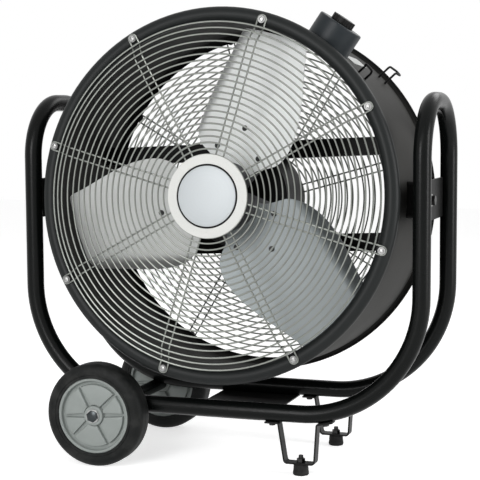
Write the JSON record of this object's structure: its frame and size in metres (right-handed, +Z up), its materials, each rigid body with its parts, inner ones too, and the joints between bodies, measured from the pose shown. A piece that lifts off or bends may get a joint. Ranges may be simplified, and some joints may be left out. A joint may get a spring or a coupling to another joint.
{
  "type": "mobile drum fan",
  "caption": "Mobile drum fan: a steel drum with wire guards and a bladed motor tilts in a bent-tube cradle with wheels at one end and rubber-footed legs at the other.",
  "frame": {"origin": "on the floor, midway between the side tubes and midway from front to back", "axes": "+Z up, the air leaves towards -Y, +X to the right seen from the front"},
  "size_m": [0.73, 0.3689, 0.7886],
  "materials": {
    "frame_black": "satin black powder coat",
    "drum_grey": "satin dark grey powder coat",
    "rim_grey": "satin dark grey powder coat",
    "bracket_black": "satin black paint",
    "guard_chrome": "bright nickel plated wire",
    "zinc": "bright zinc plate",
    "dark_chrome": "dark chrome",
    "badge_silver": "brushed silver",
    "badge_grey": "light grey dome",
    "motor_paint": "satin dark grey paint",
    "bearing_steel": "ground steel",
    "core_steel": "laminated steel",
    "copper": "enamelled copper wire",
    "blade_aluminium": "rolled aluminium sheet",
    "spider_steel": "plated steel plate",
    "control_plastic": "dark blue-grey moulding",
    "knob_plastic": "black moulding",
    "hook_black": "black wire",
    "plate_pale": "pale blank plate",
    "tyre_rubber": "black rubber",
    "wheel_grey": "grey moulding",
    "foot_rubber": "black rubber"
  },
  "bodies": {
    "frame": {"front_frame_tube": "frame_black", "rear_frame_tube": "frame_black", "left_arch_tube": "frame_black", "right_arch_tube": "frame_black", "left_pivot_plate": "frame_black", "right_pivot_plate": "frame_black", "pivot_washers": "zinc", "pivot_bolts": "zinc", "pivot_lock_nuts": "zinc", "axle_tube": "frame_black", "wheel_axle": "zinc", "axle_washers": "zinc", "axle_end_bolts": "dark_chrome", "base_plate": "frame_black", "front_leg_strap": "frame_black", "rear_leg_strap": "frame_black", "leg_bolts": "zinc", "foot_studs": "zinc", "foot_nuts": "zinc", "front_foot": "foot_rubber", "rear_foot": "foot_rubber"},
    "drum": {"drum_shell": "drum_grey", "front_rim": "rim_grey", "right_pivot_bracket": "bracket_black", "left_pivot_bracket": "bracket_black", "front_guard_rings": "guard_chrome", "front_guard_ribs": "guard_chrome", "rear_guard_rings": "guard_chrome", "rear_guard_ribs": "guard_chrome", "guard_washers": "zinc", "guard_screws": "zinc", "guard_badge_ring": "badge_silver", "guard_badge_dome": "badge_grey", "upper_motor_bar": "bracket_black", "lower_motor_bar": "bracket_black", "motor_bolts": "zinc", "motor_housing": "motor_paint", "motor_front_cover": "motor_paint", "motor_bearings": "bearing_steel", "stator_core": "core_steel", "stator_windings": "copper", "control_housing": "control_plastic", "cable_gland": "control_plastic", "speed_switch": "control_plastic", "inner_cord_hook": "hook_black", "outer_cord_hook": "hook_black", "blank_plate": "plate_pale"},
    "rotor": {"motor_shaft": "bearing_steel", "rotor_core": "core_steel", "blade_spider": "spider_steel", "fan_blade_1": "blade_aluminium", "fan_blade_2": "blade_aluminium", "fan_blade_3": "blade_aluminium", "blade_rivets": "zinc"},
    "knob": {"speed_knob": "knob_plastic"},
    "front_wheel": {"front_wheel_tyre": "tyre_rubber", "front_wheel_rim": "wheel_grey"},
    "rear_wheel": {"rear_wheel_tyre": "tyre_rubber", "rear_wheel_rim": "wheel_grey"}
  },
  "joints": [
    {"name": "drum_tilt", "type": "hinge", "parent": "frame", "child": "drum", "pos_m": [0, 0, 0.4616], "axis": [1, 0, 0], "range_deg": [-86, 94]},
    {"name": "rotor_spin", "type": "hinge", "parent": "drum", "child": "rotor", "pos_m": [0, 0, 0.4616], "axis": [0, -0.9975, 0.0713], "continuous": true},
    {"name": "knob_turn", "type": "hinge", "parent": "drum", "child": "knob", "pos_m": [0, -0.06683, 0.46638], "axis": [0.5592, 0.0591, 0.8269], "range_deg": [-135, 0]},
    {"name": "front_wheel_roll", "type": "hinge", "parent": "frame", "child": "front_wheel", "pos_m": [-0.211, -0.1534, 0.09], "axis": [0, 1, 0], "continuous": true},
    {"name": "rear_wheel_roll", "type": "hinge", "parent": "frame", "child": "rear_wheel", "pos_m": [-0.211, 0.1534, 0.09], "axis": [0, 1, 0], "continuous": true}
  ]
}
